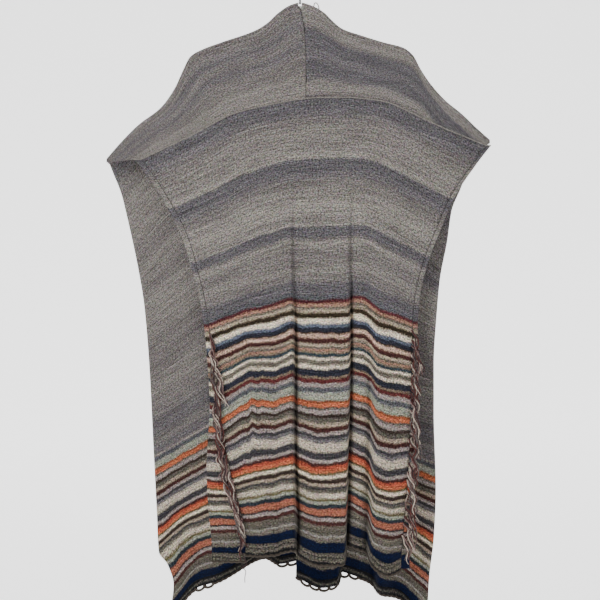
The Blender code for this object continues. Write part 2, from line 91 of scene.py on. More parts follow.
STAGE_RUN = [
    # depth and height in metres
    (-7.0, -2.9), (4.6, -2.9), (5.5, -2.84), (6.1, -2.6), (6.4, -2.2), (6.5, -1.6), (6.5, 3.4),
]
STAGE_WIDTH = 12.0               # metres
STAGE_WHITE = (0.93, 0.93, 0.93, 1)
STAGE_GLOW = 1.7
stage_mesh = bmesh.new()
run = [stage_mesh.verts.new((-STAGE_WIDTH / 2, y, z)) for y, z in STAGE_RUN]
edges = [stage_mesh.edges.new(pair) for pair in zip(run, run[1:])]
swept = bmesh.ops.extrude_edge_only(stage_mesh, edges=edges)["geom"]
far_side = [item for item in swept if isinstance(item, bmesh.types.BMVert)]
bmesh.ops.translate(stage_mesh, vec=(STAGE_WIDTH, 0, 0), verts=far_side)
stage = placed("stage", bpy.data.meshes.new("stage"))
stage_mesh.to_mesh(stage.data)
stage.data.shade_smooth()
stage_paper, _, stage_shader = new_finish("stage paper", 0.9)
stage_shader.inputs["Base Color"].default_value = STAGE_WHITE
stage_shader.inputs["Emission Color"].default_value = (1, 1, 1, 1)
stage_shader.inputs["Emission Strength"].default_value = STAGE_GLOW
stage.data.materials.append(stage_paper)

LIGHTS = [
    # name, place, aim and size in metres, watts
    ("window above left", (-1.7, -2.1, 1.6), (0, 0, -0.6), 1.4, 99),
    ("window right", (2.2, -2.2, 0.2), (0, 0, -0.7), 2.0, 18),
]
for name, place, aim, size, watts in LIGHTS:
    lamp = bpy.data.lights.new(name, "AREA")
    lamp.size = size
    lamp.energy = watts
    holder = placed(name, lamp)
    holder.location = place
    holder.rotation_euler = (Vector(aim) - Vector(place)).to_track_quat("-Z", "Y").to_euler()
SKY_GLOW = 0.27
sky = bpy.data.worlds.new("studio")
sky.use_nodes = True
sky.node_tree.nodes["Background"].inputs["Color"].default_value = (1, 1, 1, 1)
sky.node_tree.nodes["Background"].inputs["Strength"].default_value = SKY_GLOW
bpy.context.scene.world = sky


# Hanger
# A plain moulded tube hanger with a lower bar, under the cloth's fold, and its plated wire hook.
# The cloth hides all of it but the hook, the bar behind the neck and the underside.
MM = 0.001                       # metres
NECK_DROP = 75 * MM
TUBE_RADIUS = 5.0 * MM
BAR_DROP = 162 * MM
BAR_HALF_WIDTH = 212 * MM
BEND_BULGE = 11 * MM
HOOK_WIRE_RADIUS = 2.2 * MM
HOOK_RADIUS = 20 * MM
HOOK_STEM = 14 * MM
HOOK_TURN = 250                  # degrees
ARM_ENDS = (192, 196)            # mm from the middle, left and right
WALL = 2.0 * MM
FOLD_RADIUS = TUBE_RADIUS + 1.2 * MM + WALL / 2
SEAM_GAP = 0.3 * MM
SHOULDER = [
    # x, drop below the cloth's top, in mm
    (-376, 304), (-349, 273), (-314, 238), (-269, 203), (-242, 164), (-226, 129), (-213, 105),
    (-189, 91), (-154, 78), (-84, 53), (-62, 39), (-43, 21), (-16, 4), (0, 0), (25, 7),
    (47, 20), (62, 35), (82, 51), (119, 64), (164, 78), (201, 88), (220, 103), (234, 129),
    (252, 156), (281, 189), (316, 218), (343, 244), (369, 267),
]


def curve_through(places, values):
    """A smooth curve through a table's points that never swings past them."""
    places = np.asarray(places, float)
    values = np.asarray(values, float)
    spans = np.diff(places)
    slopes = np.diff(values) / spans
    tangents = np.zeros(len(places))
    tangents[0], tangents[-1] = slopes[0], slopes[-1]
    for i in range(1, len(places) - 1):
        if slopes[i - 1] * slopes[i] > 0:
            w1 = 2 * spans[i] + spans[i - 1]
            w2 = spans[i] + 2 * spans[i - 1]
            tangents[i] = (w1 + w2) / (w1 / slopes[i - 1] + w2 / slopes[i])

    def value(at):
        at = min(max(at, places[0]), places[-1])
        i = int(min(np.searchsorted(places, at, side="right") - 1, len(spans) - 1))
        t = (at - places[i]) / spans[i]
        return float(
            values[i] * (1 + 2 * t) * (1 - t) ** 2
            + values[i + 1] * t * t * (3 - 2 * t)
            + tangents[i] * spans[i] * t * (1 - t) ** 2
            - tangents[i + 1] * spans[i] * t * t * (1 - t)
        )

    return value


def column_curve(table, column=1):
    """A table's column as a smooth curve over its first column."""
    return curve_through([row[0] for row in table], [row[column] for row in table])


shoulder_drop = column_curve(SHOULDER)


def tubes(name, runs, radius, closed=False, sides=8, taper=None):
    """Round rods along lists of points, as one mesh."""
    curve = bpy.data.curves.new(name, "CURVE")
    curve.dimensions = "3D"
    for points in runs:
        spline = curve.splines.new("NURBS")
        spline.points.add(len(points) - 1)
        for i, (target, point) in enumerate(zip(spline.points, points)):
            target.co = (*point, 1)
            target.radius = taper(i / (len(points) - 1)) if taper else 1.0
        spline.use_cyclic_u = closed
        spline.use_endpoint_u = not closed
        spline.order_u = 3
        spline.resolution_u = 3
    curve.bevel_depth = radius
    curve.bevel_resolution = max(0, sides // 2 - 2)
    curve.use_fill_caps = not closed
    rod = placed(name + "_run", curve)
    bpy.context.view_layer.update()
    mesh = bpy.data.meshes.new_from_object(rod.evaluated_get(bpy.context.evaluated_depsgraph_get()))
    bpy.data.objects.remove(rod)
    mesh.name = name
    mesh.shade_smooth()
    return placed(name, mesh)


def finished(piece, material, slot, *nodes):
    """Give a piece its finish, let it ride on the one body and stand for its CAD nodes."""
    piece.data.materials.clear()
    piece.data.materials.append(material)
    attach(piece, "root")
    if nodes:
        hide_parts(*nodes)


def arm_point(x):
    """The hanger's arm, under the cloth's fold."""
    slope = (shoulder_drop(x + 4) - shoulder_drop(x - 4)) / 8
    under = (FOLD_RADIUS + SEAM_GAP) * math.sqrt(1 + slope * slope) + SEAM_GAP
    return Vector((x * MM, 0, -NECK_DROP - shoulder_drop(x) * MM - under))


def bend_points(sign, top):
    """The hanger's round end, from an arm down to the bar."""
    bar = -NECK_DROP - BAR_DROP
    points = []
    for step in range(1, 13):
        turn = math.pi * step / 12
        reach = abs(top.x) + (BAR_HALF_WIDTH - abs(top.x)) * step / 12 + BEND_BULGE * math.sin(turn)
        points.append(Vector((sign * reach, 0, (top.z + bar) / 2 + (top.z - bar) / 2 * math.cos(turn))))
    return points


def srgb(red, green, blue):
    """A colour seen as 0 to 255, as the shader's linear colour."""
    shares = [value / 255 for value in (red, green, blue)]
    return (*[s / 12.92 if s <= 0.04045 else ((s + 0.055) / 1.055) ** 2.4 for s in shares], 1.0)


def add_node(tree, kind, inputs=None, **settings):
    """A node with its settings, and each input given a value or another node's socket."""
    node = tree.nodes.new(kind)
    for setting, value in settings.items():
        setattr(node, setting, value)
    for socket, value in (inputs or {}).items():
        if isinstance(value, bpy.types.NodeSocket):
            tree.links.new(value, node.inputs[socket])
        else:
            node.inputs[socket].default_value = value
    return node


def two_tones(tree, shader, scale, detail, low, high, ends=(0.0, 1.0)):
    """Soft spots of two tones as a piece's colour; gives back the spots' own value."""
    place_in_space = add_node(tree, "ShaderNodeTexCoord").outputs["Object"]
    inputs = {"Vector": place_in_space, "Scale": scale, "Detail": detail}
    spots = add_node(tree, "ShaderNodeTexNoise", inputs).outputs["Fac"]
    ramp = add_node(tree, "ShaderNodeValToRGB", {"Fac": spots})
    for element, end, tone in zip(ramp.color_ramp.elements, ends, (low, high)):
        element.position = end
        element.color = srgb(*tone)
    tree.links.new(ramp.outputs["Color"], shader.inputs["Base Color"])
    return spots


def embossed(tree, shader, height, strength, depth):
    """Relief from a height, its depth in metres."""
    bump = add_node(tree, "ShaderNodeBump", {"Height": height, "Strength": strength, "Distance": depth})
    tree.links.new(bump.outputs["Normal"], shader.inputs["Normal"])


plastic, tree, shader = new_finish("hanger plastic", 0.34)
two_tones(tree, shader, 60.0, 3.0, (222, 219, 212), (236, 234, 229))
place_in_space = add_node(tree, "ShaderNodeTexCoord").outputs["Object"]
orange_peel = add_node(tree, "ShaderNodeTexNoise", {"Vector": place_in_space, "Scale": 900.0})
embossed(tree, shader, orange_peel.outputs["Fac"], 0.06, 0.5 * MM)

arm_xs = list(range(12, 190, 12))
left_arm = [arm_point(-x) for x in [ARM_ENDS[0]] + arm_xs[::-1]]
right_arm = [arm_point(x) for x in arm_xs + [ARM_ENDS[1]]]
hanger_loop = left_arm + right_arm + bend_points(1, right_arm[-1]) + bend_points(-1, left_arm[0])[::-1]
hanger_tube = tubes("hanger_tube", [hanger_loop], TUBE_RADIUS, closed=True, sides=20)
finished(hanger_tube, plastic, "hanger_plastic", "hanger_frame")

wire, tree, shader = new_finish("hook wire", 0.22, metallic=1.0)
rub = two_tones(tree, shader, 300.0, 4.0, (150, 150, 152), (196, 196, 196))
polish = add_node(tree, "ShaderNodeMapRange", {"Value": rub, "To Min": 0.16, "To Max": 0.34})
tree.links.new(polish.outputs["Result"], shader.inputs["Roughness"])

hook_foot = arm_point(0).z + TUBE_RADIUS
hook_ring = HOOK_RADIUS + HOOK_WIRE_RADIUS
hook_run = [Vector((0, 0, hook_foot + SEAM_GAP + HOOK_STEM * step / 4)) for step in range(5)]
for step in range(37):
    turn = math.radians(-90 - HOOK_TURN * step / 36)
    hook_run.append(Vector((hook_ring * math.cos(turn), 0, hook_ring * math.sin(turn) - HOOK_RADIUS)))
hook = tubes("hook", [hook_run], HOOK_WIRE_RADIUS, sides=14)
finished(hook, wire, "hook_wire", "hanger_hook")


# Back panel
# Heathered wool knitted from the curved yoke seam to the hem: grey-brown shades that run into
# each other, then some sixty stripes. It hangs in three main folds, sharp on one side.
SPREAD_LENGTH = 80 * MM
YOKE_GAP = 0.8 * MM
KNIT_LENGTH = 0.8824          # of the chart, from the yoke seam to the end of the knitting
BACK_EDGES = [
    # share of the length, left x, right x
    (0.0, -308, 363), (0.05, -281, 333), (0.13, -246, 292), (0.21, -218, 265), (0.31, -197, 236),
    (0.39, -183, 222), (0.45, -176, 218), (0.67, -154, 214), (0.81, -135, 208), (0.97, -107, 197),
    (1.0, -105, 195),
]
BACK_SHARES = (0.0, 0.4514, 0.6721, 0.812, 0.9713, 1.0)
BACK_LINES = [
    # name, x at yoke, stripes, end, drops at the six places, out at stripes, out at end
    ("left edge", -308, -176, -105, (306, 630, 813, 913, 1030, 1051), 0, -3),
    ("left crest", -214, -98, -74, (261, 600, 774, 897, 1028, 1050), 5, 9),
    ("left middle", -121, -55, -45, (214, 592, 776, 893, 1025, 1048), 5, 5),
    ("fold a lip", -27, -17, -13, (193, 580, 763, 883, 1016, 1039), 7, 10),
    ("fold a valley", -16, -10, -4, (191, 582, 770, 889, 1028, 1051), -5, -9),
    ("centre", 43, 39, 39, (185, 584, 778, 902, 1042, 1068), 4, 7),
    ("fold b lip", 98, 93, 85, (185, 580, 774, 899, 1040, 1067), 6, 9),
    ("fold b valley", 109, 99, 93, (186, 577, 760, 879, 1008, 1032), -5, -9),
    ("crest b to c", 140, 119, 113, (189, 578, 765, 887, 1016, 1038), 4, 4),
    ("fold c lip", 172, 136, 130, (195, 586, 775, 903, 1025, 1045), 1, -5),
    ("fold c foot", 187, 150, 142, (201, 596, 796, 926, 1051, 1071), 7, 10),
    ("right middle", 273, 185, 172, (242, 610, 808, 936, 1063, 1088), 6, 8),
    ("right edge", 363, 218, 197, (279, 625, 809, 932, 1059, 1080), 0, -2),
]
BACK_OUT = [
    # drop, out
    (0, 7.3), (120, 6.6), (154, 6.9), (160, 9.6), (166, 9.6), (173, 7.1), (200, 7.6), (330, 12),
    (580, 17), (1200, 23),
]
BACK_COLUMNS = (4, 3, 3, 1, 3, 3, 1, 2, 2, 1, 3, 3)

back_out = column_curve(BACK_OUT)
back_left_x = column_curve(BACK_EDGES, 1)
back_right_x = column_curve(BACK_EDGES, 2)
back_line_drops = [curve_through(BACK_SHARES, row[4]) for row in BACK_LINES]


def ease(t):
    """From 0 to 1 with level ends."""
    t = min(max(t, 0.0), 1.0)
    return t * t * (3 - 2 * t)


def cloth_out(profile, x, drop):
    """Cloth leaves the fold's radius and reaches the profile some way below the shoulder."""
    below = (drop - shoulder_drop(x)) * MM / SPREAD_LENGTH
    folded = FOLD_RADIUS / MM
    return folded + (profile(drop) - folded) * ease(below)


def spot(x, drop, out, side):
    """A point in metres; side is -1 on the back of the poncho and 1 on its fronts."""
    return Vector((x * MM, side * out * MM, -NECK_DROP - drop * MM))


def stations(lines):
    """Places of the lines across a panel, evenly numbered from 0 to 1."""
    return [i / (len(lines) - 1) for i in range(len(lines))]


def spaced(stops, counts):
    """Shares between stops, each span cut into its count of steps."""
    shares = [stops[0]]
    for low, high, count in zip(stops, stops[1:], counts):
        shares += [low + (high - low) * (i + 1) / count for i in range(count)]
    return shares


def fold_growth(share, at_stripes, out_stripes, out_end, slow=1.0):
    """A hanging fold starts flat, has one depth where the stripes start and another at the end."""
    start = ease(share / at_stripes) ** slow
    end = ease((share - at_stripes) / (1 - at_stripes))
    return start * (out_stripes + (out_end - out_stripes) * end)


def row_curves(lines, places, shares, share, ends, drops, folds):
    """Curves across a panel through its lines, at a share of its length: x, drop and fold."""
    xs = []
    for line in lines:
        spots = [(line[at] - lines[0][at]) / (lines[-1][at] - lines[0][at]) for at in places]
        xs.append(ends[0] + (ends[1] - ends[0]) * curve_through(shares, spots)(share))
    return [curve_through(stations(lines), values) for values in (xs, drops, folds)]


@lru_cache(maxsize=None)
def back_row(share):
    """The curves across the back panel."""
    shares = (BACK_SHARES[0], BACK_SHARES[1], BACK_SHARES[-1])
    ends = (back_left_x(share), back_right_x(share))
    drops = [line_drop(share) for line_drop in back_line_drops]
    folds = [fold_growth(share, BACK_SHARES[1], line[5], line[6], slow=2.2) for line in BACK_LINES]
    return row_curves(BACK_LINES, (1, 2, 3), shares, share, ends, drops, folds)


CREASES = [
    # place counted in lines, depth, half width and sideways slip in mm, share where it starts, length
    (4, 15, 4.0, 0, 0.42, 1), (7, 13, 4.0, 0, 0.38, 1), (9, 7, 6, 2, 0.55, 1), (11, 3, 12, 1, 0.5, 0.4),
    (0.85, 4, 7, 9, 0.60, 0.26), (1.3, 2, 6, 3, 0.50, 0.3), (2.2, 3, 9, 2, 0.55, 1),
    (5.3, 2, 9, 1, 0.5, 0.35), (8.2, 2, 7, 2, 0.6, 0.3),
]


def creased(across, share, row_x):
    """How deep the listed creases are here, and how far they pull the rows down."""
    depth = slip = 0.0
    for line, most, half_width, most_slip, start, length in CREASES:
        away = (row_x(across) - row_x(line / (len(BACK_LINES) - 1))) / half_width
        growth = ease((share - start) / 0.12) * ease((start + length - share) / 0.12)
        depth += most * math.exp(-away * away) * growth
        slip -= most_slip * away * math.exp(-away * away) * growth
    return depth, slip


def back_point(across, share):
    """A point of the back panel, from its left to its right edge and down its length."""
    row_x, row_drop, row_fold = back_row(share)
    depth, slip = creased(across, share, row_x)
    x, drop = row_x(across), row_drop(across) + slip
    return spot(x, drop, cloth_out(back_out, x, drop) + row_fold(across) - depth, -1)


def laid_out(columns, rows, point_at):
    """Points of a sheet of cloth, row by row."""
    return np.array([[point_at(column, row) for column in columns] for row in rows])


def softened(points, side, depth=1.6):
    """Add the slight unevenness of hung knitting, less and less towards the shoulder fold."""
    for row in points:
        for point in row:
            drop = (-point[2] - NECK_DROP) / MM
            below = ease((drop - shoulder_drop(point[0] / MM) - 20) / 120)
            wave = noise.noise(Vector((point[0] * 16, side * 7.3, point[2] * 7)))
            ripple = noise.noise(Vector((point[0] * 60, side * 2.1, point[2] * 34)))
            point[1] += side * below * (depth * wave + 0.35 * ripple) * MM
    return points


def cloth_shell(name, points, chart):
    """A thin sheet on points, with a map of metres across it and metres along its knitting."""
    count_down, count_across = points.shape[:2]
    chart = np.broadcast_to(np.reshape(chart, (count_down, -1)), (count_down, count_across))
    steps = np.linalg.norm(np.diff(points, axis=1), axis=2)
    along = np.concatenate([np.zeros((count_down, 1)), np.cumsum(steps, axis=1)], axis=1)
    along -= along[:, [count_across // 2]]
    grid = bmesh.new()
    cloth_map = grid.loops.layers.uv.new("cloth")
    bmesh.ops.create_grid(grid, x_segments=count_across - 1, y_segments=count_down - 1, size=0.5)
    for vertex in grid.verts:
        i = round((vertex.co.x + 0.5) * (count_across - 1))
        j = round((vertex.co.y + 0.5) * (count_down - 1))
        vertex.co = (i, j, 0)
    for face in grid.faces:
        for loop in face.loops:
            i, j = round(loop.vert.co.x), round(loop.vert.co.y)
            loop[cloth_map].uv = (along[j, i], chart[j, i])
    for vertex in grid.verts:
        vertex.co = points[round(vertex.co.y), round(vertex.co.x)]
    piece = placed(name, bpy.data.meshes.new(name))
    grid.to_mesh(piece.data)
    grid.free()
    piece.data.shade_smooth()
    wall = piece.modifiers.new("wall", "SOLIDIFY")
    wall.thickness = WALL
    wall.offset = 0.0
    return piece


YARNS = {
    # name: colour of the dyed wool
    "charcoal": (86, 83, 86), "slate": (95, 91, 93), "grey": (105, 100, 98), "ash": (117, 112, 108),
    "pale grey": (130, 125, 119), "blue grey": (80, 80, 84), "burgundy": (74, 34, 38),
    "salmon": (144, 88, 70), "salmon tan": (146, 110, 94), "cream tan": (160, 145, 126),
    "cream": (214, 200, 178), "pink cream": (184, 154, 136), "beige": (174, 163, 146),
    "olive brown": (44, 36, 26), "olive": (82, 74, 50), "dark slate": (56, 54, 57),
    "steel blue": (80, 86, 100), "navy": (38, 39, 49), "teal": (44, 56, 62), "deep teal": (38, 44, 50),
    "maroon": (60, 34, 32), "dark red": (80, 38, 38), "brick": (150, 70, 52), "orange": (172, 94, 66),
    "rust": (126, 68, 44), "taupe": (94, 88, 79), "umber": (80, 76, 69), "tan": (116, 101, 85),
    "dark brown": (46, 36, 32), "mauve": (142, 131, 126), "grey green": (136, 137, 124),
    "midnight": (4, 14, 40), "soot": (34, 33, 34), "black brown": (15, 15, 17),
}
GREY_BACK = [
    # mm from the yoke seam, yarn: dark shades start at once and fade slowly
    (0, "charcoal"), (18, "charcoal"), (30, "slate"), (44, "grey"), (66, "ash"), (100, "ash"),
    (116, "pale grey"), (122, "charcoal"), (138, "charcoal"), (150, "slate"), (164, "grey"),
    (184, "ash"), (212, "pale grey"), (240, "ash"), (248, "pale grey"), (253, "charcoal"),
    (268, "charcoal"), (276, "grey"), (281, "pale grey"), (288, "ash"), (306, "grey"), (334, "ash"),
    (356, "grey"), (366, "charcoal"), (382, "charcoal"), (387, "blue grey"), (391, "blue grey"),
]
COURSE = 2.18                 # mm from one row of stitches to the next
STRIPES_START = 394           # mm from the yoke seam
STRIPES = [
    # yarn, rows knitted in it
    ("burgundy", 3), ("salmon tan", 3), ("taupe", 2), ("cream tan", 4), ("olive brown", 4), ("cream", 6),
    ("steel blue", 3), ("navy", 4), ("dark brown", 1), ("pink cream", 5), ("maroon", 4), ("cream tan", 3),
    ("taupe", 2), ("salmon tan", 2), ("tan", 2), ("teal", 3), ("cream", 3), ("taupe", 4), ("cream", 4),
    ("navy", 6), ("tan", 2), ("dark red", 4), ("mauve", 4), ("blue grey", 5), ("grey green", 7),
    ("rust", 2), ("orange", 4), ("umber", 2), ("mauve", 4), ("dark brown", 3), ("umber", 4),
    ("cream tan", 4), ("maroon", 4), ("mauve", 3), ("dark slate", 3), ("slate", 3), ("beige", 9),
    ("dark slate", 6), ("mauve", 3), ("maroon", 3), ("brick", 3), ("orange", 3), ("olive", 2), ("cream", 4),
    ("dark brown", 4), ("cream tan", 3), ("dark slate", 2), ("umber", 3), ("beige", 6), ("olive", 2),
    ("grey green", 3), ("deep teal", 4), ("salmon", 6), ("soot", 2), ("mauve", 3), ("maroon", 4),
    ("taupe", 4), ("umber", 4), ("pale grey", 2), ("taupe", 4), ("midnight", 13),
]
MOST_STOPS = 30               # of one colour ramp, which holds 32
PALE = 400                    # sum of a pale yarn's red, green and blue
PALE_BLEND, DARK_BLEND = 4.0, 1.8   # rows that a stripe shares with its neighbours


def yarn_stops(start, stripes):
    """Each yarn's place in mm along the knitting: pale rows are narrow ridges between dark ones."""
    stops, row = [], 0
    for yarn, rows in stripes:
        middle = start + (row + rows / 2) * COURSE
        blend = PALE_BLEND if sum(YARNS[yarn]) > PALE else DARK_BLEND
        plain = max(rows - blend, 0) / 2 * COURSE
        stops += [(middle - plain, yarn), (middle + plain, yarn)] if plain else [(middle, yarn)]
        row += rows
    return stops


def math_node(tree, operation, first, second=0.0, third=0.0):
    """One step of arithmetic on the cloth's values."""
    return add_node(tree, "ShaderNodeMath", {0: first, 1: second, 2: third}, operation=operation).outputs[0]


def carried(tree, value, low, high, least, most):
    """A value that goes from least to most while another goes from low to high."""
    inputs = {"Value": value, "From Min": low, "From Max": high, "To Min": least, "To Max": most}
    return add_node(tree, "ShaderNodeMapRange", inputs).outputs["Result"]


def mottle(tree, cloth, spots, detail=2.0):
    """Soft spots, so many to a metre across and along the cloth."""
    spread = add_node(tree, "ShaderNodeVectorMath", {0: cloth, 1: spots}, operation="MULTIPLY").outputs[0]
    return add_node(tree, "ShaderNodeTexNoise", {"Vector": spread, "Scale": 1.0, "Detail": detail})


def yarn_colours(tree, row, stops):
    """The yarns' colours along the knitting, in as many ramps as their stops need."""
    colour = None
    for first in range(0, len(stops) - 1, MOST_STOPS - 1):
        part = stops[first:first + MOST_STOPS]
        low, high = part[0][0] * MM, part[-1][0] * MM
        ramp = add_node(tree, "ShaderNodeValToRGB", {"Fac": carried(tree, row, low, high, 0.0, 1.0)})
        ramp.color_ramp.interpolation = "EASE"
        elements = ramp.color_ramp.elements
        while len(elements) < len(part):
            elements.new(1.0)
        for element, (at, yarn) in zip(elements, part):
            element.position = (at * MM - low) / (high - low)
            element.color = srgb(*YARNS[yarn])
        if colour is None:
            colour = ramp.outputs["Color"]
        else:
            past = math_node(tree, "GREATER_THAN", row, low)
            inputs = {"Factor": past, 6: colour, 7: ramp.outputs["Color"]}
            colour = add_node(tree, "ShaderNodeMix", inputs, data_type="RGBA").outputs[2]
    return colour


WANDERS = [
    # spots to a metre across and along, mm that the rows wander
    ((17, 8, 0), 14.0), ((52, 30, 0), 6.0), ((300, 420, 0), 8.0),
]
GRAINS = [
    # spots to a metre across and along, low and high of the noise, tones at the two
    ((560, 700, 0), 0.34, 0.66, 0.5, 1.5), ((5, 400, 0), 0.34, 0.66, 0.82, 1.18),
    ((26, 560, 0), 0.34, 0.66, 0.74, 1.26), ((9, 60, 0), 0.34, 0.66, 0.88, 1.12),
    ((3, 170, 0), 0.60, 0.70, 1.0, 1.24), ((4, 190, 40), 0.60, 0.70, 1.0, 0.80),
]
HEATHER_SPOTS = (290, 360, 0)
DYE_SPOTS = (170, 300, 0)
HAIR_SPOTS = (900, 900, 0)
RELIEF_DEPTH = 0.6 * MM


def knit_finish(name, stops, heather=0.65, wale=3.0, course=COURSE, relief=0.5):
    """Stocking stitch in a run of yarns: stops are mm along the knitting and the yarn there."""
    material, tree, shader = new_finish(name, 0.95, sheen=0.05, gloss=0.1)
    cloth = add_node(tree, "ShaderNodeUVMap", uv_map="cloth").outputs["UV"]
    parts = add_node(tree, "ShaderNodeSeparateXYZ", {"Vector": cloth})
    across, along = parts.outputs["X"], parts.outputs["Y"]
    leg = math_node(tree, "MULTIPLY", math_node(tree, "PINGPONG", across, wale * MM / 2), 2 / (wale * MM))
    row = math_node(tree, "MULTIPLY_ADD", leg, course * MM * 0.5, along)
    for spots, swing in WANDERS:
        wander = mottle(tree, cloth, spots).outputs["Fac"]
        drift = math_node(tree, "MULTIPLY_ADD", wander, swing * MM, -swing * MM / 2)
        row = math_node(tree, "ADD", row, drift)
    colour = yarn_colours(tree, row, stops)

    turn = math_node(tree, "DIVIDE", row, course * MM)
    bow = math_node(tree, "SINE", math_node(tree, "MULTIPLY", turn, 2 * math.pi))
    rib = math_node(tree, "SINE", math_node(tree, "MULTIPLY", leg, math.pi))
    height = math_node(tree, "MULTIPLY_ADD", bow, 0.3, rib)
    # Painted shade: stitch tops a little lighter, and the hollows between rows and wales darker. The heather
    # and grain tones multiplied in below are the yarn's own.
    shade = carried(tree, height, -0.3, 1.3, 0.9, 1.05)
    for spots, *tones in [(HEATHER_SPOTS, 0.34, 0.66, 1 - heather, 1 + heather), *GRAINS]:
        tone = carried(tree, mottle(tree, cloth, spots).outputs["Fac"], *tones)
        shade = math_node(tree, "MULTIPLY", shade, tone)
    dye = mottle(tree, cloth, DYE_SPOTS).outputs["Color"]
    tint = add_node(
        tree, "ShaderNodeVectorMath", {0: dye, 1: (0.7, 0.7, 0.7), 2: (0.65, 0.65, 0.65)},
        operation="MULTIPLY_ADD",
    )
    dyed = add_node(tree, "ShaderNodeVectorMath", {0: colour, 1: tint.outputs[0]}, operation="MULTIPLY")
    lit = add_node(tree, "ShaderNodeVectorMath", {0: dyed.outputs[0], "Scale": shade}, operation="SCALE")
    tree.links.new(lit.outputs[0], shader.inputs["Base Color"])

    hairs = mottle(tree, cloth, HAIR_SPOTS, detail=3.0).outputs["Fac"]
    rough = math_node(tree, "MULTIPLY_ADD", hairs, 1.2, height)
    paleness = add_node(tree, "ShaderNodeRGBToBW", {"Color": colour}).outputs["Val"]
    rough = math_node(tree, "MULTIPLY_ADD", paleness, 2.0, rough)
    embossed(tree, shader, rough, relief, RELIEF_DEPTH)
    return material


back_knit = knit_finish("back knit", GREY_BACK + yarn_stops(STRIPES_START, STRIPES))
back_columns = spaced(stations(BACK_LINES), [4 * count for count in BACK_COLUMNS])
back_rows = spaced((0.0, 0.45, 1.0), (110, 170))
back_points = softened(laid_out(back_columns, back_rows, back_point), -1)
back_shell = cloth_shell("back_shell", back_points, [KNIT_LENGTH * share for share in back_rows])
finished(back_shell, back_knit, "striped_knit", "back_panel")


# Side bands
# Narrow strips knitted on along the back panel's side edges. The left one spreads towards the
# hem. Its stripes hang a little lower than the panel's, and it ends in the same crochet.
LEFT_BAND_WIDTHS = [
    # share of the length, width
    (0.0, 13), (0.2, 12), (0.45, 10), (0.6, 14), (0.81, 46), (0.97, 66), (1.0, 66),
]
RIGHT_BAND_WIDTHS = [
    # share of the length, width
    (0.0, 8), (0.2, 9), (0.45, 10), (0.67, 12), (1.0, 17),
]
BAND_LEAN = 4 * MM
BAND_GAP = 0.2 * MM
BAND_PAST_END = 0.022
PANEL_LENGTH = 0.865
BAND_LAG = {-1: 27 * MM, 1: 10 * MM}


def band_edge(sign, share):
    """The back panel's edge beside a band, with the panel's unevenness."""
    column = 0 if sign < 0 else -1
    return Vector([float(np.interp(share, back_rows, back_points[:, column, k])) for k in range(3)])


def band_point(sign, width_at, across, share):
    """A point of a side band, from the back panel's edge outwards, and past the panel's end."""
    edge = band_edge(sign, min(share, 1.0))
    width = width_at(share) * MM
    step = (BAND_GAP + (width - BAND_GAP) * across) * sign
    past_end = max(share - 1.0, 0.0) * PANEL_LENGTH
    roll = 1.6 * MM * math.sin(math.pi * across) * ease(share / 0.5)
    return edge + Vector((step, BAND_LEAN * across * ease(share / 0.3) - roll, -past_end))


band_rows = spaced((0.0, 0.45, 1.0, 1.0 + BAND_PAST_END), (110, 170, 6))
band_columns = [i / 10 for i in range(11)]
band_ends, band_tops = {}, {}
for sign, name, node, widths in (
    (-1, "left_band", "back_band_left", LEFT_BAND_WIDTHS),
    (1, "right_band", "back_band_right", RIGHT_BAND_WIDTHS),
):
    width_at = column_curve(widths)
    points = laid_out(
        band_columns, band_rows, lambda across, share: band_point(sign, width_at, across, share)
    )
    band_ends[sign], band_tops[sign] = points[-1], Vector(points[0, -1])
    chart = [KNIT_LENGTH * share - BAND_LAG[sign] * ease((share - 0.4) / 0.5) for share in band_rows]
    band = cloth_shell(name, points, chart)
    finished(band, back_knit, "band_knit", node)


# Fronts
# Each front is one piece of the same knitting, from its striped hem up over the shoulder and
# down to the yoke seam. The two meet in a seam down the middle of the yoke.
LEFT_FRONT_EDGE = [
    # drop, x
    (304, -376), (333, -365), (369, -351), (417, -339), (466, -328), (526, -316), (589, -306),
    (708, -296), (887, -287), (1000, -281), (1074, -277), (1098, -260), (1139, -248), (1188, -254),
]
RIGHT_FRONT_EDGE = [
    # drop, x
    (267, 369), (289, 355), (308, 339), (328, 328), (363, 314), (402, 298), (464, 289),
    (538, 275), (603, 269), (704, 263), (803, 263), (952, 267), (1047, 263), (1125, 254), (1203, 250),
]
NECK_EDGE = [
    # drop, middle, half width
    (0, 0, 3.2), (40, 0, 22), (110, 0, 38), (250, 0, 44), (500, -1, 38), (800, -3, 20), (1000, -5, 3),
    (1040, -6, -1.5), (1110, -6, -1.5),
]
FRONT_SHARES = (0.0, 0.68, 1.0)
LEFT_FRONT_LINES = [
    # name, x at yoke seam, fold, stripes, end, drop at stripes, end, out at stripes, end, here and below
    ("outer edge", -308, -376, -287, -254, 887, 1188, -2, -6),
    ("outer crest", -254, -314, -230, -209, 854, 1137, 8, 12),
    ("outer valley", -195, -250, -174, -158, 821, 1115, -2, -8),
    ("middle crest", -140, -211, -125, -98, 800, 1082, 9, 13),
    ("middle valley", -88, -148, -82, -70, 788, 1069, -4, -8),
    ("inner crest", -39, -74, -45, -43, 780, 1086, 7, 9),
    ("neck edge", 11.55, -0.15, -29, -8, 774, 1078, 0, 3),
]
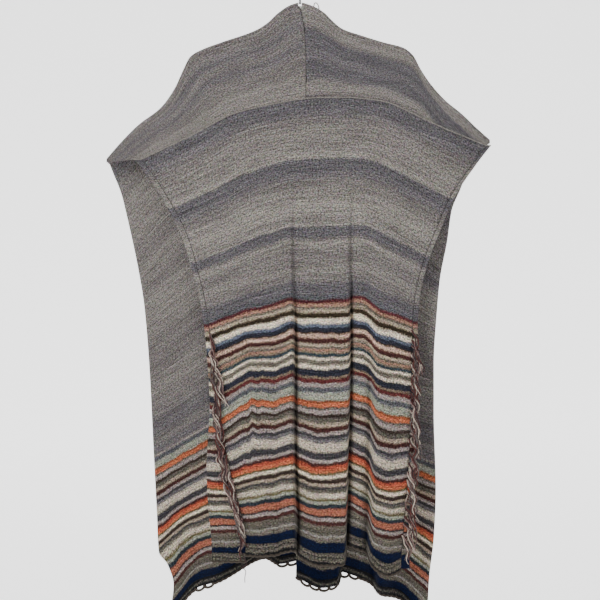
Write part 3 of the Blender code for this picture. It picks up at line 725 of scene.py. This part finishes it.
RIGHT_FRONT_LINES = [
    ("outer edge", 363, 369, 265, 250, 899, 1203, 0, -3),
    ("outer crest", 322, 302, 230, 195, 887, 1152, 8, 11),
    ("outer valley", 273, 244, 199, 158, 856, 1141, -2, -7),
    ("crest c", 234, 201, 176, 144, 833, 1125, 6, 9),
    ("valley c", 195, 168, 146, 117, 809, 1109, -3, -7),
    ("crest b", 146, 129, 117, 85, 796, 1102, 7, 10),
    ("foot b", 117, 101, 101, 73, 792, 1125, 2, -4),
    ("inner crest", 74, 66, 68, 42, 787, 1133, 6, 8),
    ("neck edge", 11.85, 0.15, 27, -5, 778, 1110, 0, -2),
]
FRONTS = {-1: (LEFT_FRONT_LINES, LEFT_FRONT_EDGE), 1: (RIGHT_FRONT_LINES, RIGHT_FRONT_EDGE)}
FRONT_OUT = [
    # drop, out
    (0, 7.3), (162, 7.8), (250, 12), (450, 17), (800, 20), (1250, 25),
]
FRONT_COLUMNS = {-1: (3, 3, 3, 3, 3, 3), 1: (3, 3, 2, 2, 2, 2, 2, 3)}
YOKE_FOOT, YOKE_TOP, FOLD_END = -400, -200, -180   # mm along the fronts' chart
FRONT_STRIPES = 561.6             # where the fronts' first stripe lies on the chart
FRONT_TOPS = {
    # mm along the chart, yarn
    -1: [
        (-400, "pale grey"), (-384, "ash"), (-352, "ash"), (-330, "grey"), (-306, "grey"),
        (-284, "slate"), (-262, "grey"), (-240, "slate"), (-215, "grey"), (-180, "grey"),
        (-150, "slate"), (-110, "grey"), (-60, "ash"), (10, "ash"), (60, "grey"), (110, "ash"),
        (150, "grey"), (190, "ash"), (250, "ash"),
    ],
    1: [
        (-400, "grey"), (-380, "ash"), (-364, "ash"), (-352, "slate"), (-330, "charcoal"),
        (-300, "slate"), (-280, "charcoal"), (-250, "charcoal"), (-240, "grey"), (-222, "ash"),
        (-180, "ash"), (-150, "slate"), (-60, "grey"), (10, "slate"), (40, "grey"), (110, "grey"),
        (150, "slate"), (190, "ash"), (260, "ash"),
    ],
}
FRONT_FEET = [
    # mm along the chart, yarn, on both fronts
    (300, "grey"), (350, "grey"), (400, "ash"), (450, "grey"), (500, "slate"), (530, "grey"),
    (548, "slate"), (556, "slate"), (560.5, "mauve"),
]

front_out = column_curve(FRONT_OUT)
neck_middle = column_curve(NECK_EDGE, 1)
neck_half_width = column_curve(NECK_EDGE, 2)
yoke_drop = curve_through([row[1] for row in BACK_LINES], [row[4][0] for row in BACK_LINES])


@lru_cache(maxsize=None)
def front_row(sign, share):
    """The curves across a front, below its shoulder fold."""
    lines, edge = FRONTS[sign]
    drops, folds = [], []
    for line in lines:
        drop_fold = shoulder_drop(line[2]) + FOLD_RADIUS / MM
        drops.append(curve_through(FRONT_SHARES, (drop_fold, line[5], line[6]))(share))
        folds.append(fold_growth(share, FRONT_SHARES[1], line[7], line[8]))
    outer, neck = lines[0][2], sign * neck_half_width(0)
    if share > 0:
        outer = column_curve(edge)(drops[0])
        neck = neck_middle(drops[-1]) + sign * neck_half_width(drops[-1])
    return row_curves(lines, (2, 3, 4), FRONT_SHARES, share, (outer, neck), drops, folds)


def front_point(sign, across, share):
    """A point of a front, from its outer to its neck edge and down from the fold to its end."""
    row_x, row_drop, row_fold = front_row(sign, share)
    x, drop = row_x(across), row_drop(across)
    return spot(x, drop, cloth_out(front_out, x, drop) + row_fold(across), 1)


@lru_cache(maxsize=None)
def front_tops(sign):
    """Curves across a front's upper end: x at the yoke seam and at the shoulder fold."""
    lines = FRONTS[sign][0]
    at = stations(lines)
    return curve_through(at, [line[1] for line in lines]), curve_through(at, [line[2] for line in lines])


def hook_notch(sign, across, share):
    """At the very top, the two neck edges part to let the hook through."""
    return sign * neck_half_width(0) * across ** 8 * share ** 40


YOKE_CREASES = [
    # side, then two places as shares across and up from the seam, depth in mm
    (1, 0.19, 0.08, 0.42, 0.45, 1.8), (1, 0.13, 0.10, 0.36, 0.52, 1.0), (1, 0.80, 0.78, 1.0, 0.77, 1.6),
    (1, 0.80, 0.05, 1.0, 0.20, 1.9),
    (-1, 0.63, 0.35, 1.0, 0.50, 1.2), (-1, 0.30, 0.30, 0.62, 0.72, 0.9),
]


def yoke_crease(sign, across, share):
    """How deep the drag lines from the hanger's arms are here."""
    depth = 0.0
    for side, across_1, share_1, across_2, share_2, most in YOKE_CREASES:
        if side == sign:
            t = (across - across_1) / (across_2 - across_1)
            away = (share - share_1 - (share_2 - share_1) * t) / 0.035
            depth += most * ease(t / 0.25) * ease((1.2 - t) / 0.25) * math.exp(-away * away)
    return depth


def yoke_point(sign, across, share):
    """A point of a front's upper end on the back: from the yoke seam (0) up to the fold (1)."""
    seam_x, fold_x = front_tops(sign)
    low_x, high_x = seam_x(across), fold_x(across)
    x = low_x + (high_x - low_x) * share ** (1 + 3 * across ** 3) + hook_notch(sign, across, share)
    low = yoke_drop(low_x) - YOKE_GAP / MM
    high = shoulder_drop(high_x) + FOLD_RADIUS / MM
    drop = low + (high - low) * share
    return spot(x, drop, cloth_out(back_out, x, drop) - yoke_crease(sign, across, share), -1)


def yoke_rise(sign, across, share):
    """How far up its yarns a yoke is: on the right one the top shades run down to the outer corner."""
    if sign < 0:
        return share
    return share + (0.8 - 0.8 * share) * (1 - ease(across / 0.42))


def fold_point(sign, across, share):
    """A point of the turn over the shoulder, from the back (0) to the front (1)."""
    x = front_tops(sign)[1](across) + hook_notch(sign, across, 1.0)
    turn = math.pi * share
    middle = NECK_DROP + shoulder_drop(x) * MM + FOLD_RADIUS
    return Vector((x * MM, -FOLD_RADIUS * math.cos(turn), FOLD_RADIUS * math.sin(turn) - middle))


yoke_rows = [share ** 0.9 for share in (i / 60 for i in range(60))]
fold_rows = [i / 14 for i in range(15)]
front_rows = spaced((0.0, 0.12, 0.68, 1.0), (40, 130, 110))[1:]
hung_chart = [YOKE_TOP * MM + (FOLD_END - YOKE_TOP) * MM * share for share in fold_rows]
at_stripes = FRONT_SHARES[1]
for share in front_rows:
    if share < at_stripes:
        hung_chart.append((FOLD_END + (FRONT_STRIPES - FOLD_END) * share / at_stripes) * MM)
    else:
        past = (share - at_stripes) / (1 - at_stripes)
        hung_chart.append(FRONT_STRIPES * MM + (KNIT_LENGTH - FRONT_STRIPES * MM) * past)
lower_stripes = [stop for stop in yarn_stops(STRIPES_START, STRIPES) if stop[0] > FRONT_STRIPES]
front_ends = {}
for sign, name, node in ((-1, "left_front", "front_left_panel"), (1, "right_front", "front_right_panel")):
    columns = spaced(stations(FRONTS[sign][0]), [5 * count for count in FRONT_COLUMNS[sign]])
    yoke = softened(laid_out(columns, yoke_rows, lambda across, share: yoke_point(sign, across, share)), -1)
    turned = laid_out(columns, fold_rows, lambda across, share: fold_point(sign, across, share))
    hung = softened(laid_out(columns, front_rows, lambda across, share: front_point(sign, across, share)), 1)
    points = np.concatenate([yoke, turned, hung])
    front_ends[sign] = points[-1]
    chart = [
        [(YOKE_FOOT + (YOKE_TOP - YOKE_FOOT) * yoke_rise(sign, across, share)) * MM for across in columns]
        for share in yoke_rows
    ] + [[at] * len(columns) for at in hung_chart]
    front = cloth_shell(name, points, chart)
    stops = FRONT_TOPS[sign] + FRONT_FEET + lower_stripes
    front_knit = knit_finish(name.replace("_", " ") + " knit", stops)
    finished(front, front_knit, "grey_knit", node)
    if sign < 0:
        yoke_left_seam = [Vector(point) for point in points[:len(yoke_rows), -1]]


# Hem edging
# Dark grey-brown yarn crocheted round every lower edge: a firm strip, worked in lighter and darker
# rows, then small loops. On the fronts' strip the black-brown rows 2 to 4 mm down are painted
# shadow, where openwork slits show only the dark behind. Some of the fronts' loops hang open and
# the others lie closed.
EDGING_LAP = 1.6 * MM
EDGING_WALL = 3.2 * MM
EDGING_STRIP = 14 * MM
BACK_EDGING_STRIP = 21 * MM
LOOP_DROP = 7.6 * MM
CLOSED_LOOP_DROP = 3.2 * MM
LOOP_PITCH = 10.5 * MM
LOOP_YARN_RADIUS = 2.7 * MM
LOOP_TUCK = 1.0 * MM
STRIP_STITCH = 1.8 * MM
STRIP_STEPS = 8
OPEN_LOOPS = [
    # from and to, mm to the right of the middle
    (-207, -179), (-51, -8), (-6, 90), (94, 110),
]
CROCHET = {"heather": 0.75, "wale": 5.5, "course": 4.0, "relief": 0.9}

back_edging_wool = knit_finish(
    "back edging wool",
    [(0, "soot"), (3, "umber"), (8, "taupe"), (10, "soot"), (12, "umber"), (18, "taupe"), (20, "soot"),
     (23, "black brown")],
    **CROCHET,
)
# Painted shadow: the black-brown rows 2 to 4 mm down stand for openwork slits that show only the dark behind
# them. The other rows are the yarn's own tones.
edging_wool = knit_finish(
    "edging wool",
    [(0, "soot"), (2, "black brown"), (4, "black brown"), (6, "soot"), (9, "umber"), (12, "soot"),
     (16, "black brown")],
    **CROCHET,
)


def even_points(line, pitch):
    """Points at an even pitch along a line."""
    line = np.asarray(line)
    run = np.concatenate([[0], np.cumsum(np.linalg.norm(np.diff(line, axis=0), axis=1))])
    count = max(2, round(run[-1] / pitch))
    return [Vector([float(np.interp(run[-1] * i / count, run, line[:, k])) for k in range(3)])
            for i in range(count + 1)]


def crochet(name, line, node, wool, strip_drop, open_loops=()):
    """A strip worked over a panel's end and the loops below it, open ones from every second stitch."""
    tops = np.array(even_points(line, STRIP_STITCH))
    depths = [-EDGING_LAP + (strip_drop + EDGING_LAP) * i / STRIP_STEPS for i in range(STRIP_STEPS + 1)]
    strip = np.array([[top - np.array((0, 0, depth)) for top in tops] for depth in depths])
    piece = cloth_shell(name, strip, [depth + EDGING_LAP for depth in depths])
    piece.modifiers["wall"].thickness = EDGING_WALL
    finished(piece, wool, "edging_yarn", node)
    runs = []
    posts = even_points(line, LOOP_PITCH)
    first = 0
    while first < len(posts) - 1:
        is_open = any(low < posts[first].x / MM < high for low, high in open_loops)
        last = min(first + (2 if is_open else 1), len(posts) - 1)
        run = []
        for step in range(11):
            turn = math.pi * step / 10
            middle = posts[first].lerp(posts[last], 0.5 - 0.48 * math.cos(turn))
            hang = (LOOP_DROP if is_open else CLOSED_LOOP_DROP) * math.sin(turn) ** 0.7
            run.append(middle - Vector((0, 0, strip_drop - LOOP_TUCK + hang)))
        runs.append(run)
        first = last
    loops = tubes(name + "_loops", runs, LOOP_YARN_RADIUS, sides=6)
    finished(loops, edging_wool_yarn, "edging_yarn")


edging_wool_yarn, tree, shader = new_finish("edging yarn", 0.95, sheen=0.05, gloss=0.1)
ply = two_tones(tree, shader, 700.0, 2.0, (24, 21, 19), (84, 76, 68))
embossed(tree, shader, ply, 0.7, RELIEF_DEPTH)

crochet("back_edging", back_points[-1], "hem_edging_back", back_edging_wool, BACK_EDGING_STRIP)
crochet("band_edging", band_ends[-1][::-1], "hem_edging_band", back_edging_wool, EDGING_STRIP)
crochet(
    "left_front_edging", front_ends[-1], "hem_edging_front_left", edging_wool, EDGING_STRIP, OPEN_LOOPS
)
crochet(
    "right_front_edging", front_ends[1][::-1], "hem_edging_front_right", edging_wool, EDGING_STRIP, OPEN_LOOPS
)


# Fringe
# Ends of the striping yarns, left hanging from the seams between the back panel and its bands.
# Soft two-ply wools of five colours wind loosely round each other in curled locks.
FRINGE_SHARES = (0.468, 0.955)
FRINGE_LANES = {
    # share of the length, mm that the locks lie to the right of the panel's edge
    -1: [(0.46, 4), (0.55, 4), (0.66, -4), (1.0, -6)],
    1: [(0.46, 5), (0.55, 8), (0.8, 9), (1.0, 7)],
}
FRINGE_DRIFT = {-1: (-5, 5), 1: (-3, 13)}   # mm to the right that a lock strays on its way down
LOCKS = 23   # on each side
LOCK_RADIUS = 2.5 * MM
LOCK_SPREAD = (-6, 6)   # mm to either side of the lane
LOCK_LENGTHS = (55, 118)   # mm
LOCK_CURLS = (1.4, 4.2)   # mm to either side
CURL_LENGTHS = (30, 62)   # mm from one curl to the next
YARN_WINDS = (0.2, 1.7)   # turns round the lock
YARN_REACHES = (0.5, 1.7)   # shares of the lock's radius
YARN_RADIUS = 1.2 * MM
FRINGE_YARNS = {
    # name: colour of the dyed wool, of which each lock has one end
    "off white": (186, 172, 158), "rose tan": (128, 102, 98), "plum brown": (62, 44, 46),
    "wine": (86, 48, 44), "stone": (92, 82, 80),
}
LOWER_BACK_WIDTH = 0.30   # metres
FULL_TURN = 6.28   # radians, near enough for a curl


def fringe_finish(name, colour):
    """A twisted wool yarn: tone from its fibres, relief from its ply."""
    material, tree, shader = new_finish(name, 0.92, sheen=0.08, gloss=0.15)
    dark, pale = [value * 0.62 for value in colour], [min(255, value * 1.14) for value in colour]
    fibres = two_tones(tree, shader, 420.0, 3.0, dark, pale, ends=(0.3, 0.7))
    embossed(tree, shader, fibres, 0.8, RELIEF_DEPTH)
    return material


def cloth_depth(sign, inward, share):
    """How far out the back panel's surface is, a little way in from its side edge."""
    across = max(inward, 0.0) / LOWER_BACK_WIDTH
    return back_point(across if sign < 0 else 1.0 - across, min(share, 1.0)).y


def lock_run(dice, sign, share):
    """The run of one lock of yarns: out of the seam, over, and down in loose waves."""
    root = band_edge(sign, share)
    lane = (column_curve(FRINGE_LANES[sign])(share) + dice.uniform(*LOCK_SPREAD)) * MM
    length = dice.uniform(*LOCK_LENGTHS) * MM
    curl, phase = dice.uniform(*LOCK_CURLS) * MM, dice.uniform(0, FULL_TURN)
    turns = length / (dice.uniform(*CURL_LENGTHS) * MM)
    swing = dice.uniform(*FRINGE_DRIFT[sign]) * MM
    layer = dice.random()
    run = []
    for step in range(25):
        down = step / 24
        below = min(share + down * length / PANEL_LENGTH, 1.0)
        seam = band_edge(sign, below)
        fall = ease(down * 5)
        x = root.x + (seam.x - root.x) * down + lane * fall + swing * down
        x += curl * math.sin(phase + turns * FULL_TURN * down) * fall
        surface = cloth_depth(sign, sign * (seam.x - x), below)
        rise = (3.2 + 3.0 * ease(down * 7) + 3.0 * layer) * MM
        run.append(Vector((x, min(surface, root.y + 4 * MM) - rise, root.z + 1.0 * MM - down * length)))
    return run


def yarn_end(dice, lock, turn):
    """One yarn of a lock: it winds loosely round the others and strays near its tip."""
    winds, reach = dice.uniform(*YARN_WINDS), dice.uniform(*YARN_REACHES)
    last = round(dice.uniform(0.7, 1.0) * (len(lock) - 1))
    run = []
    for i, middle in enumerate(lock[:last + 1]):
        down = i / (len(lock) - 1)
        wide = LOCK_RADIUS * reach * (0.5 + 0.7 * ease(down * 3) + 1.1 * ease((down - 0.7) / 0.3))
        angle = turn + winds * FULL_TURN * down
        run.append(middle + Vector((wide * math.cos(angle), 0.6 * wide * math.sin(angle), 0)))
    return run


def towards_tip(down):
    """A yarn end frays thin near its tip."""
    return 1.0 - 0.55 * ease((down - 0.75) / 0.25)


for sign, side_name, node in ((-1, "left", "fringe_left"), (1, "right", "fringe_right")):
    dice = random.Random(11 + sign)
    low, high = FRINGE_SHARES
    locks = [
        lock_run(dice, sign, low + (high - low) * (i + dice.uniform(-0.3, 0.3)) / LOCKS) for i in range(LOCKS)
    ]
    for place, (yarn, colour) in enumerate(FRINGE_YARNS.items()):
        runs = [
            yarn_end(dice, lock, FULL_TURN * place / len(FRINGE_YARNS) + number)
            for number, lock in enumerate(locks)
        ]
        name = f"{side_name}_fringe_{yarn.replace(' ', '_')}"
        ends = tubes(name, runs, YARN_RADIUS, sides=6, taper=towards_tip)
        nodes = (node,) if yarn == "off white" else ()
        finish = bpy.data.materials.get("fringe " + yarn) or fringe_finish("fringe " + yarn, colour)
        finished(ends, finish, "fringe_yarn", *nodes)
    if sign < 0:
        last_lock = locks[-1]

LOOSE_THREAD = [
    # mm to the right of the last lock's tip, mm below it
    (0, -12), (1, -4), (5, 1), (3, 6), (-3, 5), (-2, 11), (3, 15), (2, 22), (0, 30), (1, 38),
]
thread_run = [last_lock[-1] + Vector((right * MM, 0, -below * MM)) for right, below in LOOSE_THREAD]
loose_thread = tubes("left_fringe_loose_thread", [thread_run], 0.8 * MM, sides=6)
finished(loose_thread, bpy.data.materials["fringe plum brown"], "fringe_yarn")


# Seams
# The yoke is joined to the back panel, and the two fronts to each other, with a chain of pale
# yarn that stands up as a fine ridge. The bands are joined on with dark yarn, sunk in the seam.
chain_yarn = fringe_finish("seam chain", (134, 129, 123))
centre_yarn = fringe_finish("centre seam chain", (112, 107, 102))
sunk_yarn = fringe_finish("sunk seam yarn", (52, 49, 49))
CENTRE_CHAIN_ROWS = 50
left_edge, right_edge = [[band_edge(sign, share) for share in band_rows[:-6:2]] for sign in (-1, 1)]
SEAMS = [
    # name, the seam's line, mm to its right and out of the cloth, radius in mm, sides, yarn
    ("yoke_seam_chain", [band_tops[-1], *back_points[0], band_tops[1]], 0, 1.2, 1.3, 6, chain_yarn),
    ("centre_seam_chain", yoke_left_seam[:CENTRE_CHAIN_ROWS], -1.2, 0.6, 0.7, 6, centre_yarn),
    ("centre_seam_joint", yoke_left_seam, 0.2, 0, 1.15, 8, sunk_yarn),
    ("left_band_seam", left_edge, -0.4, 0.7, 0.6, 6, sunk_yarn),
    ("right_band_seam", right_edge, 0.4, 0.7, 0.6, 6, sunk_yarn),
]
for name, line, right, out, radius, sides, yarn in SEAMS:
    run = [Vector(point) + Vector((right * MM, -out * MM, 0)) for point in line]
    finished(tubes(name, [run], radius * MM, sides=sides), yarn, "grey_knit")


# Neck loop
# A small loop of pale yarn, sewn to the shoulder fold beside the hook.
loop_run = []
for step in range(17):
    turn = math.pi * step / 16
    x = 32 - 5 * math.cos(turn)
    foot = -NECK_DROP - shoulder_drop(x) * MM + WALL / 2 + SEAM_GAP
    loop_run.append(Vector((x * MM, 0, foot + 9 * MM * math.sin(turn))))
neck_loop = tubes("neck_loop_yarn", [loop_run], 1.0 * MM, sides=8)
finished(neck_loop, chain_yarn, "edging_yarn", "neck_loop")


# Cut
# What each knitted piece measures when it is laid flat, as wide as its widest row and as long as
# its longest column, and what is sewn to it. All of them hang from the plain tube hanger.
CUTS = [
    # piece, width and length in mm, area in square mm, what is sewn to it
    ("back_shell", 720, 885, 406000, ["back_edging", "back_edging_loops", "yoke_seam_chain"]),
    ("left_band", 67, 785, 19400, ["band_edging", "band_edging_loops", "left_band_seam"]),
    ("right_band", 18, 820, 9900, ["right_band_seam"]),
    ("left_front", 500, 1285, 339000,
     ["left_front_edging", "left_front_edging_loops", "centre_seam_chain", "centre_seam_joint",
      "neck_loop_yarn"]),
    ("right_front", 470, 1315, 320000, ["right_front_edging", "right_front_edging_loops"]),
]
fringes = [thing for thing in bpy.data.objects if "_fringe_" in thing.name]
for name, width, length, area, sewn in CUTS:
    with_pieces = [bpy.data.objects[part] for part in sewn]
    with_pieces += [thing for thing in fringes if name.endswith("_band") and thing.name.startswith(name[:4])]
